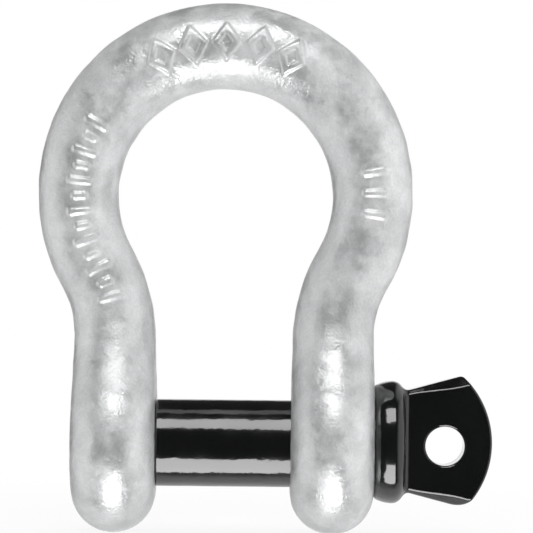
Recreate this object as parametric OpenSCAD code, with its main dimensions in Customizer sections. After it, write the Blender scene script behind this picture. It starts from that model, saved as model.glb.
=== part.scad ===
// Bow shackle with a screw pin: a forged bow that ends in two eyes, and a one-piece pin with a thread,
// a plain shank, a collar and a flat tab with a lanyard hole. All sizes are in millimetres.
// +X runs along the pin towards its tab and +Z towards the crown. The origin is on the pin's axis,
// midway between the eyes.

/* [Bow] */
// Bar diameter of the legs and of the sides of the bow
bar_d = 16; // [13:0.5:18.5]
// Bar diameter at the crown, where the load bears
crown_d = 17.2; // [14:0.1:20.5]
// Clear width of the jaw, between the two eyes
jaw_w = 26.9; // [22.4:0.1:32.3]
// Widest clear width inside the bow
bow_w = 42.9; // [38:0.1:51.5]
// From the pin's axis to the inside of the crown
inside_h = 71; // [60:0.5:85]
// Centreline radius of the shoulder, where a leg turns outwards into the bow
shoulder_r = 28.6; // [22:0.1:34]

/* [Eyes] */
// Wall of an eye, from the pin's surface to the eye's rim
eye_wall = 9.3; // [8:0.1:12]
// How much thicker an eye is than the bar, along the pin
eye_swell = 0.8; // [0.2:0.1:1.6]
// Radius of the fillet between an eye's edge and its leg
eye_fillet_r = 32; // [24:0.5:40]
// Chamfer around each end of an eye's hole
hole_chamfer = 0.8; // [0.4:0.1:1.2]

/* [Pin] */
// Diameter of the pin's plain shank
pin_d = 17.5; // [14.6:0.1:21]
// Radial clearance of the shank in the plain eye
pin_gap = 0.4; // [0.2:0.05:0.8]
// Radial clearance over the crests of the thread in the threaded eye
thread_gap = 0.15; // [0.1:0.05:0.3]
// Distance between neighbouring threads
thread_pitch = 2.5; // [1.5:0.25:3]
// How far the pin's end sits inside the threaded eye's outer face
end_inset = 0.7; // [0:0.1:2]
// Width of the relief groove between the thread and the shank
relief_w = 0.8; // [0.5:0.1:1.5]

/* [Head] */
// How far the collar stands out beyond the shank, all round
collar_lip = 3.45; // [3.2:0.05:4.2]
// Thickness of the collar, along the pin
collar_w = 5.7; // [4.5:0.1:7]
// Length of the tab beyond the collar
tab_l = 17.8; // [15:0.1:21.4]
// Greatest width of the tab, near its tip
tab_w = 25.4; // [21:0.1:30.5]
// Width of the tab where it leaves the collar
neck_w = 20.2; // [16.7:0.1:21]
// Thickness of the tab
tab_t = 8; // [6.7:0.1:9.6]
// Diameter of the lanyard hole in the tab
tab_hole_d = 7.8; // [6.4:0.1:9.3]

/* [Hidden] */
// Eyes and legs
bar_r = bar_d / 2;
eye_r = pin_d / 2 + eye_wall;
eye_half_t = bar_r + eye_swell / 2;
eye_flat_r = eye_r - eye_half_t;
leg_x = jaw_w / 2 + eye_half_t;
eye_outer_x = leg_x + eye_half_t;
fillet_y = bar_r + eye_fillet_r;
fillet_z = sqrt(pow(eye_r + eye_fillet_r, 2) - fillet_y * fillet_y);
fillet_start_z = fillet_z * eye_r / (eye_r + eye_fillet_r);

// Bow: a leg's shoulder arc is tangent to the leg and to the bow's arc about (0, bow_z)
bow_z = inside_h - bow_w / 2;
side_r = bow_w / 2 + bar_r;
shoulder_x = leg_x + shoulder_r;
shoulder_z = bow_z - sqrt(pow(side_r + shoulder_r, 2) - shoulder_x * shoulder_x);
shoulder_turn = acos(shoulder_x / (side_r + shoulder_r));

// Rings of the swept bow in each stretch of one half, and sides to each ring
SIDES = 24;
EYE_RINGS = 8;
LEG_RINGS = 8;
SHOULDER_RINGS = 4;
ARC_RINGS = 15;
FIRST_EYE_ANGLE = 8;

// Pin
thread_d = pin_d - 0.3;
thread_root_r = thread_d / 2 - 0.61 * thread_pitch;
crest_w = thread_pitch / 8;
flank_w = (thread_pitch - 2 * crest_w) / 2;
end_bevel = 1;
shank_start_x = -jaw_w / 2;
pin_end_x = -eye_outer_x + end_inset;
thread_l = shank_start_x - relief_w - pin_end_x - end_bevel;
thread_count = floor(thread_l / thread_pitch);
first_thread_x = shank_start_x - relief_w - thread_count * thread_pitch;

// Head: the collar's edge is rounder towards the tab than towards the eye
collar_r = pin_d / 2 + collar_lip;
collar_peak = 0.62 * collar_w;
collar_eye_edge_r = 7;
collar_tab_edge_r = 2.4;
tab_start_x = eye_outer_x + collar_w;
tab_tip_x = tab_start_x + tab_l;
tab_tip_r = 0.73 * tab_w;
tab_widest_x = tab_tip_x - 6.3;
tab_hole_x = tab_tip_x - 9.4;

EPS = 0.01;
$fn = 96;

// Half-width of an eye and its leg across the shackle's side, at height z
function side_half_width(z) =
    z < fillet_start_z ? sqrt(max(0, eye_r * eye_r - z * z))
    : z < fillet_z ? fillet_y - sqrt(pow(eye_fillet_r, 2) - pow(fillet_z - z, 2))
    : bar_r;

// Half-thickness of an eye and its leg along the pin, at height z; the eye's rim is fully rounded
function half_thickness(z) =
    z < -eye_flat_r ? sqrt(max(0, pow(eye_half_t, 2) - pow(-z - eye_flat_r, 2)))
    : z < 0 ? eye_half_t
    : z < fillet_z ? eye_half_t - (eye_half_t - bar_r) * z / fillet_z
    : bar_r;

// Bar radius of the bow at an angle above the horizontal through its centre
function arc_bar_r(angle) = bar_r + (crown_d - bar_d) / 2 * max(0, sin(angle));

// A station is [x, z, direction of its outward side, half-thickness, half-width]
function leg_station(x, z, direction) = [x, z, direction, half_thickness(z), side_half_width(z)];

function shoulder_station(turn) = leg_station(
    shoulder_x - shoulder_r * cos(turn), shoulder_z + shoulder_r * sin(turn), -turn);

function arc_station(angle) =
    let (r = arc_bar_r(angle), centre_r = bow_w / 2 + r)
    [centre_r * cos(angle), bow_z + centre_r * sin(angle), angle, r, r];

right_half = [
    for (i = [0 : EYE_RINGS - 1])
        let (angle = FIRST_EYE_ANGLE + (90 - FIRST_EYE_ANGLE) * i / EYE_RINGS)
        leg_station(leg_x, -eye_r * cos(angle), 0),
    for (i = [0 : LEG_RINGS]) leg_station(leg_x, shoulder_z * i / LEG_RINGS, 0),
    for (i = [1 : SHOULDER_RINGS]) shoulder_station(shoulder_turn * i / SHOULDER_RINGS),
    for (i = [1 : ARC_RINGS]) arc_station(-shoulder_turn + (90 + shoulder_turn) * i / ARC_RINGS)
];

left_half = [
    for (i = [len(right_half) - 2 : -1 : 0])
        let (s = right_half[i])
        [-s[0], s[1], 180 - s[2], s[3], s[4]]
];

stations = concat(right_half, left_half);

// Points around one station: a circle, pulled apart across the shackle's side where it is wider than thick.
// Its sides are tangent to the true outline, so widths and gaps come out exact.
function ring(s) = [
    for (i = [0 : SIDES - 1])
        let (
            angle = (i + 0.5) * 360 / SIDES,
            r = s[3] / cos(180 / SIDES),
            out = r * cos(angle),
            across = r * sin(angle) + sign(sin(angle)) * (s[4] - s[3])
        )
        [s[0] + out * cos(s[2]), across, s[1] + out * sin(s[2])]
];

// The forged bar from one eye's lowest point round the crown to the other's
module bar_sweep() {
    last = len(stations) - 1;
    eye_tips = [[leg_x, 0, -eye_r], [-leg_x, 0, -eye_r]];
    points = concat([for (s = stations) each ring(s)], eye_tips);
    right_tip = len(points) - 2;
    left_tip = len(points) - 1;
    walls = [
        for (j = [0 : last - 1], i = [0 : SIDES - 1])
            let (a = j * SIDES + i, b = j * SIDES + (i + 1) % SIDES)
            each [[a, a + SIDES, b + SIDES], [a, b + SIDES, b]]
    ];
    right_cap = [for (i = [0 : SIDES - 1]) [right_tip, i, (i + 1) % SIDES]];
    left_cap = [
        for (i = [0 : SIDES - 1])
            [left_tip, last * SIDES + (i + 1) % SIDES, last * SIDES + i]
    ];
    polyhedron(points = points, faces = concat(walls, right_cap, left_cap), convexity = 6);
}

// A hole along the pin through one eye, chamfered at both ends; side is 1 for the plain eye
module eye_hole(r, side) {
    flare = hole_chamfer + EPS;
    translate([side * leg_x, 0, 0])
        rotate([0, 90, 0]) {
            cylinder(r = r, h = 2 * eye_half_t + 2, center = true);
            for (end = [-1, 1])
                translate([0, 0, end * (eye_half_t + EPS)])
                    rotate([end > 0 ? 180 : 0, 0, 0])
                        cylinder(r1 = r + flare, r2 = r, h = flare);
        }
}

module bow() {
    color("silver")
        difference() {
            bar_sweep();
            eye_hole(pin_d / 2 + pin_gap, 1);
            eye_hole(thread_d / 2 + thread_gap, -1);
        }
}

// Turns an outline of [radius, x] about the pin's axis
module about_pin() {
    rotate([0, 90, 0]) rotate_extrude() children();
}

// Threaded end of the pin, with its threads drawn as plain rings, up to and with the relief groove
module pin_thread() {
    crest_r = thread_d / 2;
    threads = [
        for (i = [0 : thread_count - 1])
            let (x = first_thread_x + i * thread_pitch)
            each [
                [thread_root_r, x], [crest_r, x + flank_w],
                [crest_r, x + flank_w + crest_w], [thread_root_r, x + 2 * flank_w + crest_w]
            ]
    ];
    color("#1c1c1e")
        about_pin()
            polygon(concat(
                [[0, pin_end_x], [thread_root_r - end_bevel, pin_end_x]],
                [[thread_root_r, pin_end_x + end_bevel]],
                threads,
                [[thread_root_r, shank_start_x], [0, shank_start_x]]));
}

// Plain shank, from the threaded eye's inner face to the collar
module pin_shank() {
    color("#1c1c1e")
        translate([shank_start_x, 0, 0])
            rotate([0, 90, 0])
                cylinder(d = pin_d, h = eye_outer_x - shank_start_x);
}

// Half outline of the collar, on the positive side of the axis
module collar_outline() {
    peak_x = eye_outer_x + collar_peak;
    intersection() {
        translate([0, eye_outer_x]) square([collar_r, collar_w]);
        union() {
            translate([0, eye_outer_x]) square([neck_w / 2, collar_w]);
            translate([0, peak_x - collar_w]) square([collar_r - collar_eye_edge_r, collar_w]);
            intersection() {
                translate([collar_r - collar_eye_edge_r, peak_x]) circle(collar_eye_edge_r);
                translate([0, eye_outer_x]) square([collar_r, collar_peak]);
            }
            intersection() {
                translate([collar_r - collar_tab_edge_r, peak_x]) circle(collar_tab_edge_r);
                translate([0, peak_x]) square([collar_r, collar_w]);
            }
        }
    }
}

// Outline of the tab, with its length along X: it flares from the neck to a broad rounded tip
module tab_outline() {
    root_x = eye_outer_x + collar_w / 2;
    difference() {
        intersection() {
            polygon([
                [root_x, -neck_w / 2 + 0.6], [tab_widest_x, -tab_w / 2], [tab_tip_x + 1, -tab_w / 2],
                [tab_tip_x + 1, tab_w / 2], [tab_widest_x, tab_w / 2], [root_x, neck_w / 2 - 0.6]
            ]);
            translate([tab_tip_x - tab_tip_r, 0]) circle(tab_tip_r);
        }
        translate([tab_hole_x, 0]) circle(d = tab_hole_d);
    }
}

module pin_head() {
    color("#1c1c1e")
        union() {
            about_pin() collar_outline();
            rotate([90, 0, 0])
                linear_extrude(height = tab_t, center = true)
                    tab_outline();
        }
}

bow();
pin_thread();
pin_shank();
pin_head();
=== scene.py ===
import math

import bmesh
import bpy
import numpy as np
from mathutils import Matrix, Vector


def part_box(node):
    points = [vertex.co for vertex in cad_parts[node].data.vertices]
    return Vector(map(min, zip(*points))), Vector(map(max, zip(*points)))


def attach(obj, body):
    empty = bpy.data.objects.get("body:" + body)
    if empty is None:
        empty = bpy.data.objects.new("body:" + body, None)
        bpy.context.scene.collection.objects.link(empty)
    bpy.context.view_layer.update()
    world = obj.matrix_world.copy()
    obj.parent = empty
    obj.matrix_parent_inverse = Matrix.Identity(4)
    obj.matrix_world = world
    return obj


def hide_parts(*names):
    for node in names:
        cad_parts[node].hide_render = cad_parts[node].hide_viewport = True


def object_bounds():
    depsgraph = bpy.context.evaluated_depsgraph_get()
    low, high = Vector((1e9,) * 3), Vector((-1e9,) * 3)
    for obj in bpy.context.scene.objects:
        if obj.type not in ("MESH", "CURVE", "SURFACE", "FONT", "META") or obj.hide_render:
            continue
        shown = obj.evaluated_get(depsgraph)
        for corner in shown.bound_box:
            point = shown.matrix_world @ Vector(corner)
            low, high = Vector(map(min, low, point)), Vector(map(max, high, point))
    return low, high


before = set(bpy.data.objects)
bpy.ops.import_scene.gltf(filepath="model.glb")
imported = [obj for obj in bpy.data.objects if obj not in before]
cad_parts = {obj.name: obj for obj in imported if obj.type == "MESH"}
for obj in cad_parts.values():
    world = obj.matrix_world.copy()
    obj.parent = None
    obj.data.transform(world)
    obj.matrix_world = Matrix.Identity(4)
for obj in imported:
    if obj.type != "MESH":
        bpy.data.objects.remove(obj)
CAD_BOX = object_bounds()
MM = 0.001

# ---------------------------------------------------------------- sizes, in millimetres


def box_mm(node):
    """Lowest and highest corner of a CAD node, in millimetres."""
    low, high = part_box(node)
    return np.array(low) / MM, np.array(high) / MM


BOW_LOW, BOW_HIGH = box_mm("bow")
THREAD_LOW, THREAD_HIGH = box_mm("pin_thread")
SHANK_LOW, SHANK_HIGH = box_mm("pin_shank")
HEAD_LOW, HEAD_HIGH = box_mm("pin_head")

# Bow
BAR_R = 8.0
CROWN_BAR_R = 8.6
SHOULDER_R = 28.6
EYE_FILLET_R = 32.0
EYE_R = -BOW_LOW[2]
JAW_HALF = -SHANK_LOW[0]
EYE_OUTER_X = SHANK_HIGH[0]
EYE_HALF_T = (EYE_OUTER_X - JAW_HALF) / 2
EYE_FLAT_R = EYE_R - EYE_HALF_T
LEG_X = JAW_HALF + EYE_HALF_T
BOW_HALF_W = BOW_HIGH[0] - 2 * BAR_R
BOW_Z = BOW_HIGH[2] - 2 * CROWN_BAR_R - BOW_HALF_W
FILLET_Y = BAR_R + EYE_FILLET_R
FILLET_Z = math.sqrt((EYE_R + EYE_FILLET_R) ** 2 - FILLET_Y ** 2)
FILLET_START_Z = FILLET_Z * EYE_R / (EYE_R + EYE_FILLET_R)
SHOULDER_X = LEG_X + SHOULDER_R
SIDE_R = BOW_HALF_W + BAR_R
SHOULDER_Z = BOW_Z - math.sqrt((SIDE_R + SHOULDER_R) ** 2 - SHOULDER_X ** 2)
SHOULDER_TURN = math.acos(SHOULDER_X / (SIDE_R + SHOULDER_R))
FORGING_LUMP = 0.045
FORGING_LUMP_L = 5.0
SMOOTH_EYE_TOP = 12.0

# Raised marks forged into the front of the bow: plain lozenges and bars
MARK_H = 0.5
MARK_EDGE = 0.46
MARKED_SHARE = 0.4
LOZENGE_COUNT = 5
LOZENGE_PITCH = 6.6
LOZENGE_HALF_L = 2.9
LOZENGE_HALF_W = 3.9
LOZENGE_LINE = 1.25
LOZENGE_OUTWARDS = 0.3
BAR_MARK_L = 5.2
BAR_MARK_W = 1.3
SHORT_MARK_L = 0.62 * BAR_MARK_L
LEFT_MARKS_START = 32.0
LEFT_MARKS_PITCH = 3.05
LEFT_MARKS_COUNT = 13
LEFT_MARKS_OUTWARDS = -0.6
RIGHT_MARKS_START = 42.0
RIGHT_MARKS_PITCH = 4.2
RIGHT_MARKS_COUNT = 3
RIGHT_MARKS_OUTWARDS = 0.4

# Stations along one half of the bow, from the eye's lowest point (2.5 degrees off it) to the crown
FIRST_EYE_ANGLE = 2.5
EYE_STATIONS = 42
LEG_STATIONS = 42
SHOULDER_STATIONS = 50
ARC_STATIONS = 209

# Pin
PIN_R = SHANK_HIGH[2]
PIN_GAP = 0.4
HOLE_EDGE_R = 0.8
CUTTER_OVERSHOOT = 1.2
THREAD_R = THREAD_HIGH[2]
THREAD_GAP = 0.15
PITCH = 2.5
CREST_W = PITCH / 8
FLANK_W = (PITCH - 2 * CREST_W) / 2
FLANK_ROUNDING = 0.3
THREAD_DEPTH = 0.61 * PITCH
RELIEF_W = 0.8
RUNOUT_W = 0.8
RUNOUT_INTO_RELIEF = 0.2
END_BEVEL = 1.0
BEVEL_SLOPE = 1.3
SHANK_EDGE_R = 0.4
SHANK_STEP_L = 0.02
SHANK_INTO_HEAD = 1.6
EYE_THREAD_EXTRA_W = 0.12

# Head
HEAD_DRIFT = 0.55
COLLAR_PEAK_X = EYE_OUTER_X + 3.6
COLLAR_PEAK_R = 12.3
COLLAR_EYE_EDGE_R = 7.0
COLLAR_TAB_EDGE_R = 2.4
TAB_HALF_T = 4.0
TAB_TIP_X = HEAD_HIGH[0]
TAB_TIP_R = 18.35
TAB_SLOPE = 0.268
TAB_NECK_TOP = 10.95
TAB_NECK_BOTTOM = -9.25
TAB_NECK_X = EYE_OUTER_X + 6.1
TAB_ROOT_X = EYE_OUTER_X + 2
TAB_DRAFT_W = 2.0
TAB_DRAFT_T = 2.4
TAB_HOLE_R = 3.9
TAB_HOLE_X = TAB_TIP_X - 9.4
COLLAR_SEAT_BLEND = 0.35
NECK_BLEND = 1.3
TAB_ROOT_BLEND = 0.5
TAB_EDGE_BLEND = 0.6
TAB_LOWER_TIP_BLEND = 2.6
DRAFT_EDGE_BLEND = 0.35
DRAFT_NECK_SHARE = 0.4
DRAFT_RUN = 12.0
HEAD_STEP = 0.24
HEAD_MARGIN = 1.0
HEAD_TOP_MARGIN = 2.5

# ---------------------------------------------------------------- helpers


def smoothstep(x):
    x = np.clip(x, 0, 1)
    return x * x * (3 - 2 * x)


def smooth_min(a, b, k):
    h = np.clip(0.5 + 0.5 * (b - a) / k, 0, 1)
    return b + (a - b) * h - k * h * (1 - h)


def smooth_max(a, b, k):
    return -smooth_min(-a, -b, k)


def lumps(points, wavelength, seed, waves=48):
    """Smooth random height, about -1 to 1, made of plane waves in random directions."""
    rng = np.random.default_rng(seed)
    directions = rng.normal(size=(waves, 3))
    directions /= np.linalg.norm(directions, axis=1)[:, None]
    rates = 2 * math.pi / (wavelength * rng.uniform(0.7, 1.6, waves))
    phases = rng.uniform(0, 2 * math.pi, waves)
    total = np.zeros(points.shape[:-1])
    for direction, rate, phase in zip(directions, rates, phases):
        total += np.sin(points @ (direction * rate) + phase)
    return total / math.sqrt(waves)


def make_object(name, points, faces):
    """A mesh object from points in millimetres."""
    mesh = bpy.data.meshes.new(name)
    mesh.from_pydata((np.asarray(points) * MM).tolist(), [], faces)
    mesh.validate()
    cleaned = bmesh.new()
    cleaned.from_mesh(mesh)
    bmesh.ops.recalc_face_normals(cleaned, faces=cleaned.faces)
    cleaned.to_mesh(mesh)
    cleaned.free()
    made = bpy.data.objects.new(name, mesh)
    bpy.context.scene.collection.objects.link(made)
    return made


def combine(target, tool, operation):
    """Cuts or joins the tool object into the target and removes the tool."""
    step = target.modifiers.new("combine", "BOOLEAN")
    step.operation = operation
    step.solver = "MANIFOLD"
    step.object = tool
    bpy.context.view_layer.update()
    shape = bpy.data.meshes.new_from_object(target.evaluated_get(bpy.context.evaluated_depsgraph_get()))
    target.modifiers.clear()
    target.data = shape
    bpy.data.objects.remove(tool)


def shade(made, sharp_angle):
    made.data.polygons.foreach_set("use_smooth", [True] * len(made.data.polygons))
    made.data.set_sharp_from_angle(angle=math.radians(sharp_angle))


def closed_tube(name, rings):
    """A closed skin over rings of points, each a (sides, 3) array, with a point in the middle of each end."""
    count, sides = len(rings), len(rings[0])
    points = np.concatenate([np.concatenate(rings), [rings[0].mean(0)], [rings[-1].mean(0)]])
    start, end = count * sides, count * sides + 1
    faces = []
    for j in range(count - 1):
        for i in range(sides):
            k = (i + 1) % sides
            faces.append((j * sides + i, (j + 1) * sides + i, (j + 1) * sides + k, j * sides + k))
    last = (count - 1) * sides
    for i in range(sides):
        k = (i + 1) % sides
        faces.append((start, i, k))
        faces.append((end, last + k, last + i))
    return make_object(name, points, faces)


def turned(name, xs, radius_at, sides):
    """A closed solid about the pin's axis; radius_at(x, turns) may change round it, as a thread does."""
    turns = np.arange(sides) / sides
    rings = []
    for x in xs:
        radius = radius_at(np.full(sides, x), turns)
        angle = turns * 2 * math.pi
        rings.append(np.stack([np.full(sides, x), radius * np.cos(angle), radius * np.sin(angle)], axis=1))
    return closed_tube(name, rings)


# ---------------------------------------------------------------- bow


def side_half_width(z):
    """Half of the leg's or eye's width from front to back, at a height above the pin's axis."""
    eye = np.sqrt(np.maximum(0, EYE_R ** 2 - z ** 2))
    drop = np.clip(FILLET_Z - z, 0, EYE_FILLET_R)
    fillet = FILLET_Y - np.sqrt(EYE_FILLET_R ** 2 - drop ** 2)
    return np.where(z < FILLET_START_Z, eye, np.where(z < FILLET_Z, fillet, BAR_R))


def half_thickness(z):
    """Half of the leg's or eye's thickness along the pin's axis, at a height above it."""
    rim = np.sqrt(np.maximum(0, EYE_HALF_T ** 2 - np.maximum(0, -z - EYE_FLAT_R) ** 2))
    leg = EYE_HALF_T - (EYE_HALF_T - BAR_R) * np.clip(z / FILLET_Z, 0, 1)
    return np.where(z < 0, rim, leg)


def bow_path():
    """The right half, from the eye's lowest point to the crown: x, z, outward direction and radii."""
    eye_turn = np.radians(np.linspace(FIRST_EYE_ANGLE, 90, EYE_STATIONS, endpoint=False))
    leg_z = np.linspace(0, SHOULDER_Z, LEG_STATIONS, endpoint=False)
    turn = np.linspace(0, SHOULDER_TURN, SHOULDER_STATIONS, endpoint=False)
    angle = np.linspace(-SHOULDER_TURN, math.pi / 2, ARC_STATIONS)
    bar = BAR_R + (CROWN_BAR_R - BAR_R) * np.maximum(0, np.sin(angle))
    eye_z = -EYE_R * np.cos(eye_turn)
    x = np.concatenate([
        np.full(len(eye_z) + len(leg_z), LEG_X),
        SHOULDER_X - SHOULDER_R * np.cos(turn),
        (BOW_HALF_W + bar) * np.cos(angle)])
    z = np.concatenate([
        eye_z,
        leg_z,
        SHOULDER_Z + SHOULDER_R * np.sin(turn),
        BOW_Z + (BOW_HALF_W + bar) * np.sin(angle)])
    direction = np.concatenate([np.zeros(len(eye_z) + len(leg_z)), -turn, angle])
    thick = np.concatenate([half_thickness(z[:-len(bar)]), bar])
    wide = np.concatenate([side_half_width(z[:-len(bar)]), bar])
    return x, z, direction, thick, wide


def ring_columns():
    """Points of one ring as (outward side, front or back, share of the quarter); the front is finer."""
    fine_end = 0.42
    fine = np.linspace(0, fine_end, 24, endpoint=False)
    coarse = np.linspace(fine_end, 1, 14)
    front = 1 - np.concatenate([fine, coarse])
    back = 1 - np.linspace(0, 1, 20)
    out, side, share = [], [], []
    quarters = (
        (1, -1, front[::-1]),
        (-1, -1, front),
        (-1, 1, back[::-1]),
        (1, 1, back))
    for outward, facing, quarter in quarters:
        out += [outward] * (len(quarter) - 1)
        side += [facing] * (len(quarter) - 1)
        share += list(quarter[:-1])
    return np.array(out), np.array(side), np.array(share)


def lozenge(along, across):
    """Signed distance to the line of one upright lozenge."""
    skew = math.hypot(1 / LOZENGE_HALF_L, 1 / LOZENGE_HALF_W)
    edge = (np.abs(along) / LOZENGE_HALF_L + np.abs(across) / LOZENGE_HALF_W - 1) / skew
    return np.abs(edge + LOZENGE_LINE / 2) - LOZENGE_LINE / 2


def bar_mark(along, across, length):
    """Signed distance to a short bar with round ends that lies across the forging."""
    reach = np.maximum(np.abs(across) - (length - BAR_MARK_W) / 2, 0)
    return np.hypot(along, reach) - BAR_MARK_W / 2


def mark_height(along, across):
    """Height of the raised marks; along runs from the crown, to the left, and across points outwards."""
    far_away = 99.0
    nearest = np.full(np.broadcast(along, across).shape, far_away)
    for i in range(LOZENGE_COUNT):
        centre = (i - (LOZENGE_COUNT - 1) / 2) * LOZENGE_PITCH
        nearest = np.minimum(nearest, lozenge(along - centre, across - LOZENGE_OUTWARDS))
    for i in range(LEFT_MARKS_COUNT):
        length = BAR_MARK_L if i % 2 == 0 else SHORT_MARK_L
        centre = LEFT_MARKS_START + i * LEFT_MARKS_PITCH
        mark = bar_mark(along - centre, across - LEFT_MARKS_OUTWARDS, length)
        nearest = np.minimum(nearest, mark)
    for i in range(RIGHT_MARKS_COUNT):
        centre = -RIGHT_MARKS_START - i * RIGHT_MARKS_PITCH
        mark = bar_mark(along - centre, across - RIGHT_MARKS_OUTWARDS, BAR_MARK_L)
        nearest = np.minimum(nearest, mark)
    return MARK_H * smoothstep(0.5 - nearest / MARK_EDGE)


def build_bow_bar():
    """The bent bar with its two eyes, before the holes are cut."""
    x, z, direction, thick, wide = bow_path()
    mirrored = slice(-2, None, -1)
    x = np.concatenate([x, -x[mirrored]])
    z = np.concatenate([z, z[mirrored]])
    direction = np.concatenate([direction, math.pi - direction[mirrored]])
    thick = np.concatenate([thick, thick[mirrored]])
    wide = np.concatenate([wide, wide[mirrored]])
    steps = np.hypot(np.diff(x), np.diff(z))
    along = np.concatenate([[0], np.cumsum(steps)])
    along -= along[len(along) // 2]

    outward, facing, share = ring_columns()
    flat = (wide - thick)[:, None]
    radius = thick[:, None]
    run = share[None, :] * (flat + radius * math.pi / 2)
    bend = np.maximum(run - flat, 0) / np.maximum(radius, 1e-6)
    across_y = np.where(run < flat, run, flat + radius * np.sin(bend))
    out = radius * np.cos(bend)
    rim = np.maximum(np.hypot(across_y, z[:, None]) - EYE_FLAT_R, 0)
    eye_out = np.sqrt(np.maximum(EYE_HALF_T ** 2 - rim ** 2, 0))
    out = np.where(z[:, None] < 0, np.minimum(eye_out, EYE_HALF_T), out)

    marks = mark_height(along[:, None], (out * outward)) * (facing < 0) * (share > MARKED_SHARE)
    skin = np.stack([
        x[:, None] + out * outward * np.cos(direction)[:, None],
        across_y * facing,
        z[:, None] + out * outward * np.sin(direction)[:, None]], axis=2)
    lift = marks + FORGING_LUMP * lumps(skin, FORGING_LUMP_L, seed=4)
    normal_out = np.cos(bend) * outward
    normal_y = np.sin(bend) * facing
    normal = np.stack([
        normal_out * np.cos(direction)[:, None],
        normal_y,
        normal_out * np.sin(direction)[:, None]], axis=2)
    inside_eye = z[:, None] < SMOOTH_EYE_TOP
    lift = np.where(inside_eye, np.minimum(lift, 0), lift)
    skin += normal * lift[..., None]
    return closed_tube("bow_forging", list(skin))


def hole_flare(x, leg_x, radius):
    """Radius of a hole with a rounded edge at both faces of the eye."""
    depth = EYE_HALF_T - np.abs(x - leg_x)
    inside = np.clip(HOLE_EDGE_R - depth, 0, HOLE_EDGE_R)
    rounded = HOLE_EDGE_R - np.sqrt(HOLE_EDGE_R ** 2 - inside ** 2)
    return radius + rounded


def rounded_flank(x):
    """A straight flank with slightly rounded ends."""
    x = np.clip(x, 0, 1)
    return (1 - FLANK_ROUNDING) * x + FLANK_ROUNDING * smoothstep(x)


def thread_radius(x, turns, crest_r, extra_w):
    """Radius of a right-hand thread with its crest at crest_r."""
    phase = x / PITCH - turns
    from_crest = np.abs((phase + 0.5) % 1 - 0.5) * PITCH
    depth = rounded_flank((from_crest - CREST_W / 2 - extra_w) / FLANK_W)
    return crest_r - THREAD_DEPTH * depth


def hole_stations(leg_x, count):
    """Stations along a hole's cutter, which stands out at both faces of the eye."""
    reach = EYE_HALF_T + CUTTER_OVERSHOOT
    return np.linspace(leg_x - reach, leg_x + reach, count)


def build_plain_hole():
    def radius(x, turns):
        return hole_flare(x, LEG_X, PIN_R + PIN_GAP)

    return turned("plain_hole", hole_stations(LEG_X, 60), radius, 108)


def build_threaded_hole():
    crest = THREAD_R + THREAD_GAP

    def radius(x, turns):
        cut = thread_radius(x, turns, crest, EYE_THREAD_EXTRA_W)
        return np.maximum(cut, hole_flare(x, -LEG_X, crest - THREAD_DEPTH))

    return turned("threaded_hole", hole_stations(-LEG_X, 120), radius, 96)


def build_bow():
    bow = build_bow_bar()
    combine(bow, build_plain_hole(), "DIFFERENCE")
    combine(bow, build_threaded_hole(), "DIFFERENCE")
    shade(bow, 50)
    return bow


# ---------------------------------------------------------------- pin


def shaft_radius(x, turns):
    """Radius of the pin's thread, relief groove and shank."""
    root = THREAD_R - THREAD_DEPTH
    thread = thread_radius(x, turns, THREAD_R, 0)
    relief_x = SHANK_LOW[0] - RELIEF_W
    fade = smoothstep((relief_x + RUNOUT_INTO_RELIEF - x) / RUNOUT_W)
    threaded = root + (thread - root) * fade
    bevelled = root - END_BEVEL + (x - THREAD_LOW[0]) * BEVEL_SLOPE
    into_shank = np.clip((x - SHANK_LOW[0]) / SHANK_EDGE_R, 0, 1)
    rounded = PIN_R - SHANK_EDGE_R + SHANK_EDGE_R * np.sqrt(1 - (1 - into_shank) ** 2)
    return np.where(x < SHANK_LOW[0], np.minimum(threaded, bevelled), rounded)


def build_shaft():
    thread_x = np.linspace(THREAD_LOW[0], SHANK_LOW[0] - SHANK_STEP_L, 124)
    edge_x = SHANK_LOW[0] + np.linspace(0, SHANK_EDGE_R, 7)
    shank_x = np.linspace(SHANK_LOW[0] + 2 * SHANK_EDGE_R, EYE_OUTER_X + SHANK_INTO_HEAD, 60)
    return turned("screw_pin", np.concatenate([thread_x, edge_x, shank_x]), shaft_radius, 144)


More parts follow.
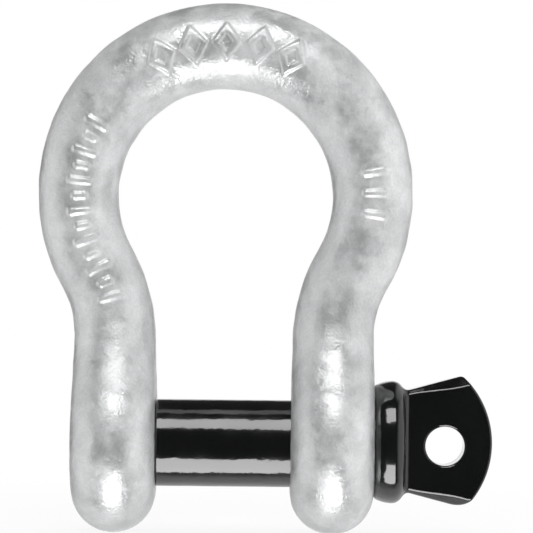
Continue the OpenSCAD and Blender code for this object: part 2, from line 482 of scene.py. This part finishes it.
def head_distance(points):
    """Signed distance, in millimetres, to the forged collar and tab."""
    x, y, z = points[..., 0], points[..., 1], points[..., 2]
    radius = np.hypot(y, z - HEAD_DRIFT)
    beside_peak = x - COLLAR_PEAK_X
    edge_r = np.where(beside_peak < 0, COLLAR_EYE_EDGE_R, COLLAR_TAB_EDGE_R)
    collar = np.hypot(beside_peak, np.maximum(radius - COLLAR_PEAK_R + edge_r, 0)) - edge_r

    square = math.hypot(1, TAB_SLOPE)
    top = (z - TAB_NECK_TOP - TAB_SLOPE * (x - TAB_NECK_X)) / square
    bottom = (TAB_NECK_BOTTOM - TAB_SLOPE * (x - TAB_NECK_X) - z) / square
    tip = np.hypot(x - TAB_TIP_X + TAB_TIP_R, z - HEAD_DRIFT) - TAB_TIP_R
    outline = smooth_max(smooth_max(top, tip, TAB_EDGE_BLEND), bottom, TAB_LOWER_TIP_BLEND)
    faces = np.abs(y) - TAB_HALF_T
    edge = np.maximum(top, bottom)
    widening = (1 - DRAFT_NECK_SHARE) * smoothstep((x - TAB_NECK_X) / DRAFT_RUN)
    reach = TAB_DRAFT_W * (DRAFT_NECK_SHARE + widening)
    draft = faces * TAB_DRAFT_W + (edge + reach) * TAB_DRAFT_T
    draft /= math.hypot(TAB_DRAFT_W, TAB_DRAFT_T)
    tab = smooth_max(smooth_max(outline, faces, TAB_EDGE_BLEND), draft, DRAFT_EDGE_BLEND)
    tab = smooth_max(tab, TAB_ROOT_X - x, TAB_ROOT_BLEND)

    head = smooth_min(collar, tab, NECK_BLEND)
    hole = TAB_HOLE_R - np.hypot(x - TAB_HOLE_X, z)
    head = smooth_max(head, hole, TAB_EDGE_BLEND)
    return smooth_max(head, EYE_OUTER_X - x, COLLAR_SEAT_BLEND)


def surface_net(distance, low, high, step):
    """Points and four-sided faces on the zero level of a distance function."""
    axes = [np.arange(low[i], high[i] + step, step) for i in range(3)]
    grid = np.stack(np.meshgrid(*axes, indexing="ij"), axis=3)
    field = distance(grid)
    inside = field < 0
    corners = [(i, j, k) for i in (0, 1) for j in (0, 1) for k in (0, 1)]
    cells = tuple(n - 1 for n in inside.shape)

    def shifted(values, corner):
        return values[tuple(slice(c, c + n) for c, n in zip(corner, cells))]

    held = sum(shifted(inside, c).astype(int) for c in corners)
    active = np.argwhere((held > 0) & (held < 8))
    number = np.full(cells, -1)
    number[tuple(active.T)] = np.arange(len(active))
    total = np.zeros((len(active), 3))
    crossings = np.zeros(len(active))
    for a in corners:
        for axis in range(3):
            if a[axis]:
                continue
            b = list(a)
            b[axis] = 1
            value_a = field[tuple((active + a).T)]
            value_b = field[tuple((active + b).T)]
            crosses = (value_a < 0) != (value_b < 0)
            share = np.where(crosses, value_a / np.where(crosses, value_a - value_b, 1), 0)
            point = active + np.array(a, float)
            point[:, axis] += share
            total += point * crosses[:, None]
            crossings += crosses
    points = np.array(low) + step * total / crossings[:, None]

    faces = []
    for axis in range(3):
        u, v = (axis + 1) % 3, (axis + 2) % 3
        first = np.moveaxis(inside, axis, 0)[:-1]
        second = np.moveaxis(inside, axis, 0)[1:]
        edges = np.argwhere(np.moveaxis(first != second, 0, axis))
        leaves = np.moveaxis(first, 0, axis)[tuple(edges.T)]
        ring = []
        for du, dv in ((0, 0), (-1, 0), (-1, -1), (0, -1)):
            cell = edges.copy()
            cell[:, u] += du
            cell[:, v] += dv
            ring.append(number[tuple(cell.T)])
        quads = np.stack(ring, axis=1)
        quads[~leaves] = quads[~leaves][:, ::-1]
        faces.append(quads)
    return points, np.concatenate(faces)


def settle(points, distance):
    """Moves points onto the zero level of a distance function."""
    nudge = 0.01
    for _ in range(4):
        value = distance(points)
        slope = np.stack([
            (distance(points + nudge * axis) - distance(points - nudge * axis)) / (2 * nudge)
            for axis in np.eye(3)], axis=1)
        steep = np.maximum((slope ** 2).sum(1), 0.2)
        points = points - slope * (value / steep)[:, None]
    return points


def build_head():
    """The collar and tab; the grid reaches higher than the CAD head, because the tab sits a little high."""
    low = np.array([EYE_OUTER_X - HEAD_MARGIN, -HEAD_HIGH[1] - HEAD_MARGIN, HEAD_LOW[2] - HEAD_MARGIN])
    high = np.array([TAB_TIP_X + HEAD_MARGIN, HEAD_HIGH[1] + HEAD_MARGIN, HEAD_HIGH[2] + HEAD_TOP_MARGIN])
    points, faces = surface_net(head_distance, low, high, HEAD_STEP)
    points = settle(points, head_distance)
    return make_object("head_part", points, faces.tolist())


def build_pin():
    pin = build_shaft()
    combine(pin, build_head(), "UNION")
    shade(pin, 60)
    return pin


# ---------------------------------------------------------------- materials


class Nodes:
    """Short ways to add and join shader nodes in one tree."""

    def __init__(self, owner):
        owner.use_nodes = True
        self.tree = owner.node_tree
        self.tree.nodes.clear()

    def add(self, kind, **settings):
        node = self.tree.nodes.new(kind)
        for name, value in settings.items():
            setattr(node, name, value)
        return node

    def join(self, source, target):
        self.tree.links.new(source, target)

    def noise(self, coordinates, size_mm, detail=2.0, roughness=0.5):
        """Noise whose features are about size_mm wide."""
        node = self.add("ShaderNodeTexNoise")
        node.inputs["Scale"].default_value = 1 / (size_mm * MM)
        node.inputs["Detail"].default_value = detail
        node.inputs["Roughness"].default_value = roughness
        self.join(coordinates, node.inputs["Vector"])
        return node.outputs["Fac"]

    def remap(self, value, from_low, from_high, to_low, to_high, smooth=True):
        node = self.add("ShaderNodeMapRange")
        node.interpolation_type = "SMOOTHSTEP" if smooth else "LINEAR"
        node.inputs["From Min"].default_value = from_low
        node.inputs["From Max"].default_value = from_high
        node.inputs["To Min"].default_value = to_low
        node.inputs["To Max"].default_value = to_high
        self.join(value, node.inputs["Value"])
        return node.outputs["Result"]

    def maths(self, operation, a, b):
        node = self.add("ShaderNodeMath", operation=operation)
        for slot, value in enumerate((a, b)):
            if isinstance(value, (int, float)):
                node.inputs[slot].default_value = value
            else:
                self.join(value, node.inputs[slot])
        return node.outputs["Value"]

    def bump(self, height, height_mm, below=None):
        """Bump of a height from 0 to 1 that stands for height_mm."""
        node = self.add("ShaderNodeBump")
        node.inputs["Strength"].default_value = 1
        node.inputs["Distance"].default_value = height_mm * MM
        self.join(height, node.inputs["Height"])
        if below is not None:
            self.join(below, node.inputs["Normal"])
        return node.outputs["Normal"]


ZINC_DARK = (0.60, 0.61, 0.615, 1)
ZINC_PALE = (0.81, 0.815, 0.82, 1)
ENAMEL_BLACK = (0.0015, 0.0020, 0.0021, 1)


def galvanised_zinc():
    """Hot-dip zinc: pale, cloudy and finely grained, with patches of different gloss."""
    material = bpy.data.materials.new("galvanised_zinc")
    nodes = Nodes(material)
    place = nodes.add("ShaderNodeTexCoord").outputs["Object"]
    clouds = nodes.noise(place, 6.0, detail=4, roughness=0.6)
    patches = nodes.noise(place, 2.6, detail=3, roughness=0.6)
    grain = nodes.noise(place, 0.5, detail=3, roughness=0.6)

    tone = nodes.maths("MULTIPLY", clouds, 0.4)
    tone = nodes.maths("ADD", tone, nodes.maths("MULTIPLY", patches, 0.25))
    tone = nodes.maths("ADD", tone, nodes.maths("MULTIPLY", grain, 0.35))
    ramp = nodes.add("ShaderNodeValToRGB")
    ramp.color_ramp.elements[0].position = 0.36
    ramp.color_ramp.elements[0].color = ZINC_DARK
    ramp.color_ramp.elements[1].position = 0.64
    ramp.color_ramp.elements[1].color = ZINC_PALE
    nodes.join(tone, ramp.inputs["Fac"])

    surface = nodes.add("ShaderNodeBsdfPrincipled")
    bare = nodes.noise(place, 7.5, detail=3, roughness=0.65)
    nodes.join(nodes.remap(bare, 0.40, 0.64, 0.46, 0.68), surface.inputs["Metallic"])
    nodes.join(ramp.outputs["Color"], surface.inputs["Base Color"])
    gloss = nodes.maths("ADD", nodes.maths("MULTIPLY", patches, 0.5), nodes.maths("MULTIPLY", bare, -0.5))
    nodes.join(nodes.remap(gloss, -0.12, 0.12, 0.28, 0.44), surface.inputs["Roughness"])
    lumpy = nodes.bump(clouds, 0.22)
    lumpy = nodes.bump(patches, 0.16, lumpy)
    nodes.join(nodes.bump(grain, 0.07, lumpy), surface.inputs["Normal"])
    out = nodes.add("ShaderNodeOutputMaterial")
    nodes.join(surface.outputs["BSDF"], out.inputs["Surface"])
    return material


def black_enamel():
    """Thick glossy black paint with a faint orange peel."""
    material = bpy.data.materials.new("black_enamel")
    nodes = Nodes(material)
    place = nodes.add("ShaderNodeTexCoord").outputs["Object"]
    peel = nodes.noise(place, 1.8, detail=2)
    sag = nodes.noise(place, 6.0, detail=1)
    surface = nodes.add("ShaderNodeBsdfPrincipled")
    surface.inputs["Base Color"].default_value = ENAMEL_BLACK
    surface.inputs["Coat Weight"].default_value = 1
    surface.inputs["Coat IOR"].default_value = 1.75
    surface.inputs["Coat Roughness"].default_value = 0.05
    nodes.join(nodes.remap(sag, 0.3, 0.7, 0.14, 0.26), surface.inputs["Roughness"])
    coat = nodes.bump(peel, 0.05, nodes.bump(sag, 0.12))
    nodes.join(coat, surface.inputs["Normal"])
    nodes.join(coat, surface.inputs["Coat Normal"])
    out = nodes.add("ShaderNodeOutputMaterial")
    nodes.join(surface.outputs["BSDF"], out.inputs["Surface"])
    return material


def white_floor():
    """White floor that the camera sees as the background, with a faint shadow of the object."""
    material = bpy.data.materials.new("white_floor")
    nodes = Nodes(material)
    paint = nodes.add("ShaderNodeBsdfDiffuse")
    paint.inputs["Color"].default_value = (0.95, 0.95, 0.95, 1)
    glow = nodes.add("ShaderNodeEmission")
    rays = nodes.add("ShaderNodeLightPath")
    seen = nodes.maths("MAXIMUM", rays.outputs["Is Camera Ray"], rays.outputs["Is Glossy Ray"])
    seen = nodes.maths("MAXIMUM", seen, rays.outputs["Is Transmission Ray"])
    mix = nodes.add("ShaderNodeMixShader")
    place = nodes.add("ShaderNodeTexCoord").outputs["Object"]
    reach = nodes.add("ShaderNodeVectorMath", operation="LENGTH")
    nodes.join(place, reach.inputs["Vector"])
    share = nodes.remap(reach.outputs["Value"], 0.06, 0.18, 0.88, 1)
    nodes.join(nodes.maths("MULTIPLY", seen, share), mix.inputs["Fac"])
    nodes.join(paint.outputs["BSDF"], mix.inputs[1])
    nodes.join(glow.outputs["Emission"], mix.inputs[2])
    out = nodes.add("ShaderNodeOutputMaterial")
    nodes.join(mix.outputs["Shader"], out.inputs["Surface"])
    return material


# ---------------------------------------------------------------- studio

ROOM_DARK = 0.04
FLOOR_GAP = 0.0004
LAMP_REACH = 0.7
MIDDLE = Vector((0.008, 0, 0.035))


def build_floor():
    half = 3.0
    level = CAD_BOX[0].z - FLOOR_GAP
    corners = [(side * half, depth * half, level) for side, depth in ((-1, -1), (1, -1), (1, 1), (-1, 1))]
    mesh = bpy.data.meshes.new("floor")
    mesh.from_pydata(corners, [], [(0, 1, 2, 3)])
    floor = bpy.data.objects.new("floor", mesh)
    bpy.context.scene.collection.objects.link(floor)
    floor.data.materials.append(white_floor())
    floor.visible_shadow = False
    floor.visible_glossy = False


def build_world():
    """A dark room, pale at both sides and above and below at the back, with the white backdrop."""
    world = bpy.data.worlds.new("studio")
    bpy.context.scene.world = world
    nodes = Nodes(world)
    direction = nodes.add("ShaderNodeTexCoord").outputs["Generated"]
    split = nodes.add("ShaderNodeSeparateXYZ")
    nodes.join(direction, split.inputs["Vector"])
    right, forward, up = split.outputs
    left_wall = nodes.remap(right, -0.66, -0.92, 0, 0.80)
    right_wall = nodes.remap(right, 0.42, 0.80, 0, 0.60)
    table = nodes.maths(
        "MULTIPLY", nodes.remap(up, 0, -0.4, 0, 0.52), nodes.remap(forward, -0.15, 0.25, 0, 1))
    backdrop = nodes.remap(forward, 0.88, 0.985, 0, 1)
    ceiling = nodes.maths(
        "MULTIPLY", nodes.remap(up, 0, 0.4, 0, 0.4), nodes.remap(forward, -0.1, 0.3, 0, 1))
    to_a_side = nodes.remap(nodes.maths("ABSOLUTE", right, 0), 0.12, 0.4, 0, 1)
    ceiling = nodes.maths("MULTIPLY", ceiling, to_a_side)
    pale = nodes.maths("MAXIMUM", left_wall, right_wall)
    for part in (table, ceiling, backdrop):
        pale = nodes.maths("MAXIMUM", pale, part)
    room = nodes.remap(pale, 0, 1, ROOM_DARK, 1, smooth=False)
    rays = nodes.add("ShaderNodeLightPath")
    seen = nodes.maths("MAXIMUM", rays.outputs["Is Camera Ray"], rays.outputs["Is Transmission Ray"])
    white = nodes.add("ShaderNodeBackground")
    walls = nodes.add("ShaderNodeBackground")
    nodes.join(room, walls.inputs["Strength"])
    mix = nodes.add("ShaderNodeMixShader")
    nodes.join(seen, mix.inputs["Fac"])
    nodes.join(walls.outputs["Background"], mix.inputs[1])
    nodes.join(white.outputs["Background"], mix.inputs[2])
    for background in (white, walls):
        background.inputs["Color"].default_value = (1, 1, 1, 1)
    white.inputs["Strength"].default_value = 1
    out = nodes.add("ShaderNodeOutputWorld")
    nodes.join(mix.outputs["Shader"], out.inputs["Surface"])


def softbox(name, elevation, width, height, radiance, azimuth=0, reflected=True):
    """A lamp aimed at the object's middle, at an elevation and an azimuth from the camera's line."""
    angle = math.radians(elevation)
    side = math.radians(azimuth)
    light = bpy.data.lights.new(name, "AREA")
    light.shape = "RECTANGLE"
    light.size = width
    light.size_y = height
    light.energy = radiance * math.pi * width * height
    lamp = bpy.data.objects.new(name, light)
    bpy.context.scene.collection.objects.link(lamp)
    level = math.cos(angle)
    outwards = Vector((math.sin(side) * level, -math.cos(side) * level, math.sin(angle)))
    lamp.location = MIDDLE + LAMP_REACH * outwards
    lamp.rotation_euler = (-outwards).to_track_quat("-Z", "Y").to_euler()
    lamp.visible_glossy = reflected


def build_lamps():
    """Two softboxes that the paint reflects, and three fill lights that it doesn't."""
    softbox("softbox_above", elevation=53, width=0.44, height=0.36, radiance=3.5)
    softbox("softbox_below", elevation=-62, width=0.44, height=0.50, radiance=4.1)
    fill = {"width": 0.5, "height": 0.5, "reflected": False}
    softbox("fill_front", elevation=8, radiance=1.6, **fill)
    softbox("fill_right", elevation=8, radiance=2.8, azimuth=75, **fill)
    softbox("fill_top", elevation=100, radiance=2.8, **fill)


def build_camera():
    """Level camera in front, rolled slightly, so that the shackle fills the frame as in the photograph."""
    aim = Vector((8.344, 0, 35.51)) * MM
    distance = 0.6
    frame_height = 107.0 * MM
    roll = math.radians(0.6)
    data = bpy.data.cameras.new("camera")
    data.sensor_width = 36
    data.lens = data.sensor_width * distance / frame_height
    data.clip_start = 0.05
    data.clip_end = 50
    camera = bpy.data.objects.new("camera", data)
    bpy.context.scene.collection.objects.link(camera)
    right = Vector((math.cos(roll), 0, math.sin(roll)))
    up = Vector((-math.sin(roll), 0, math.cos(roll)))
    back = right.cross(up)
    turn = Matrix((right, up, back)).transposed()
    camera.matrix_world = Matrix.Translation(aim + back * distance) @ turn.to_4x4()
    bpy.context.scene.camera = camera


# ---------------------------------------------------------------- assembly

# The booleans leave an empty material slot, which is cleared before the material goes on.
bow = build_bow()
bow.data.materials.clear()
bow.data.materials.append(galvanised_zinc())
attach(bow, "bow")
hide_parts("bow")

pin = build_pin()
pin.data.materials.clear()
pin.data.materials.append(black_enamel())
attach(pin, "pin")
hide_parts("pin_thread", "pin_shank", "pin_head")

build_floor()
build_world()
build_lamps()
build_camera()
bpy.context.scene.view_settings.view_transform = "Standard"
